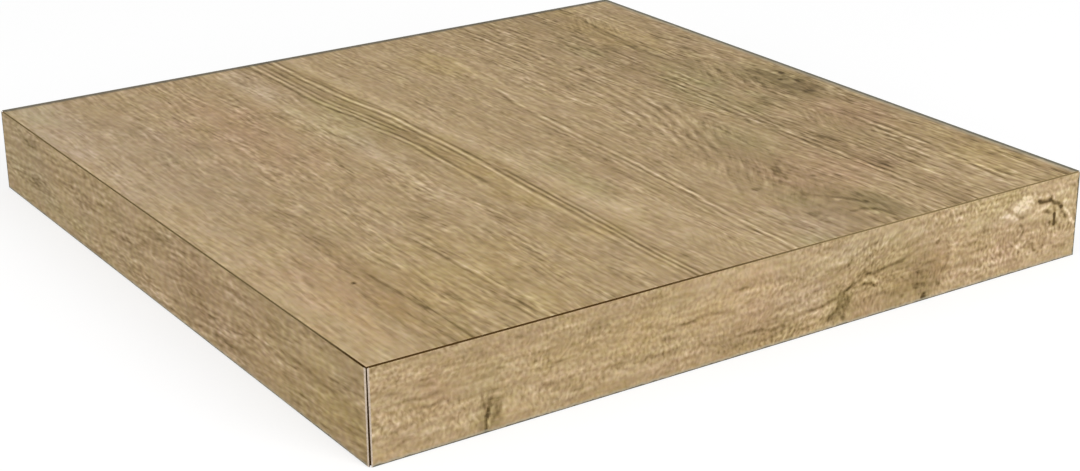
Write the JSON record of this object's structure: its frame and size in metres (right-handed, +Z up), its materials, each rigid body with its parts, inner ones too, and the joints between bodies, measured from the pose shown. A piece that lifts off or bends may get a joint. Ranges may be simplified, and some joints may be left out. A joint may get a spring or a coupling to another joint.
{
  "type": "corner stair tread",
  "caption": "Square corner stair tread in oak-effect porcelain tile: flat top slab with mitred, glued lips down its front and left edges, hollow underneath so that it sits over a step.",
  "frame": {"origin": "on the floor under the middle of the tread's square outline, at the level of the lips' lower edges", "axes": "+X along the front lip away from the eased corner, +Y from the front lip to the back edge, +Z up out of the walking face"},
  "size_m": [0.33, 0.33, 0.0365],
  "materials": {
    "oak_effect_porcelain": "matte",
    "dark_epoxy": "matte"
  },
  "bodies": {
    "root": {"top_slab": "oak_effect_porcelain", "front_lip": "oak_effect_porcelain", "side_lip": "oak_effect_porcelain", "joint_epoxy": "dark_epoxy"}
  },
  "joints": []
}
